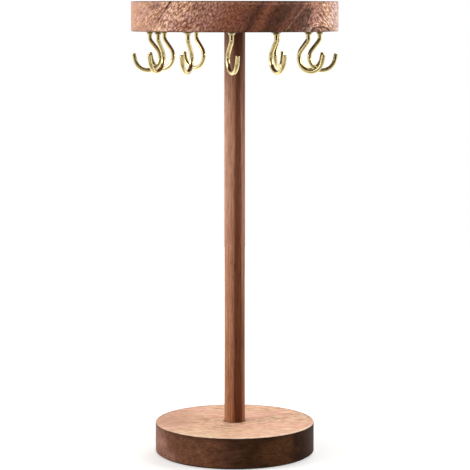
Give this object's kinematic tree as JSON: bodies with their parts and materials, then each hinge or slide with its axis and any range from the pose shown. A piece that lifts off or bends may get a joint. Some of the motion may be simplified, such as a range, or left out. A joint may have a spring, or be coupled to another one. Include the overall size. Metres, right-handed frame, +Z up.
{
  "type": "jewelry stand",
  "caption": "Free-standing necklace stand: a turning round wooden head with brass hooks under its rim, on a slim round post and a round base.",
  "frame": {"origin": "middle of the base's pad, on the surface that the stand stands on", "axes": "+Z up the post, -Y towards the side that faces the user"},
  "size_m": [0.136, 0.136, 0.301],
  "materials": {
    "head_wood": "oiled, satin",
    "post_wood": "oiled, satin",
    "base_wood": "oiled, satin",
    "hook_brass": "polished",
    "insert_brass": "plain",
    "bush_bronze": "plain",
    "steel": "zinc plated",
    "nylon": "plain",
    "pad": "matte foam"
  },
  "bodies": {
    "stand": {"base": "base_wood", "base_pad": "pad", "base_bolt": "steel", "post": "post_wood", "foot_insert": "insert_brass", "top_insert": "insert_brass", "thrust_washer": "nylon", "pivot_screw": "steel"},
    "head": {"head_disc": "head_wood", "pivot_bush": "bush_bronze", "top_plug": "head_wood", "hook_collars": "hook_brass", "hook_01": "hook_brass", "hook_02": "hook_brass", "hook_03": "hook_brass", "hook_04": "hook_brass", "hook_05": "hook_brass", "hook_06": "hook_brass", "hook_07": "hook_brass", "hook_08": "hook_brass", "hook_09": "hook_brass", "hook_10": "hook_brass", "hook_11": "hook_brass", "hook_12": "hook_brass"}
  },
  "joints": [
    {"name": "head_spin", "type": "hinge", "parent": "stand", "child": "head", "pos_m": [0, 0, 0.2815], "axis": [0, 0, 1], "continuous": true}
  ]
}
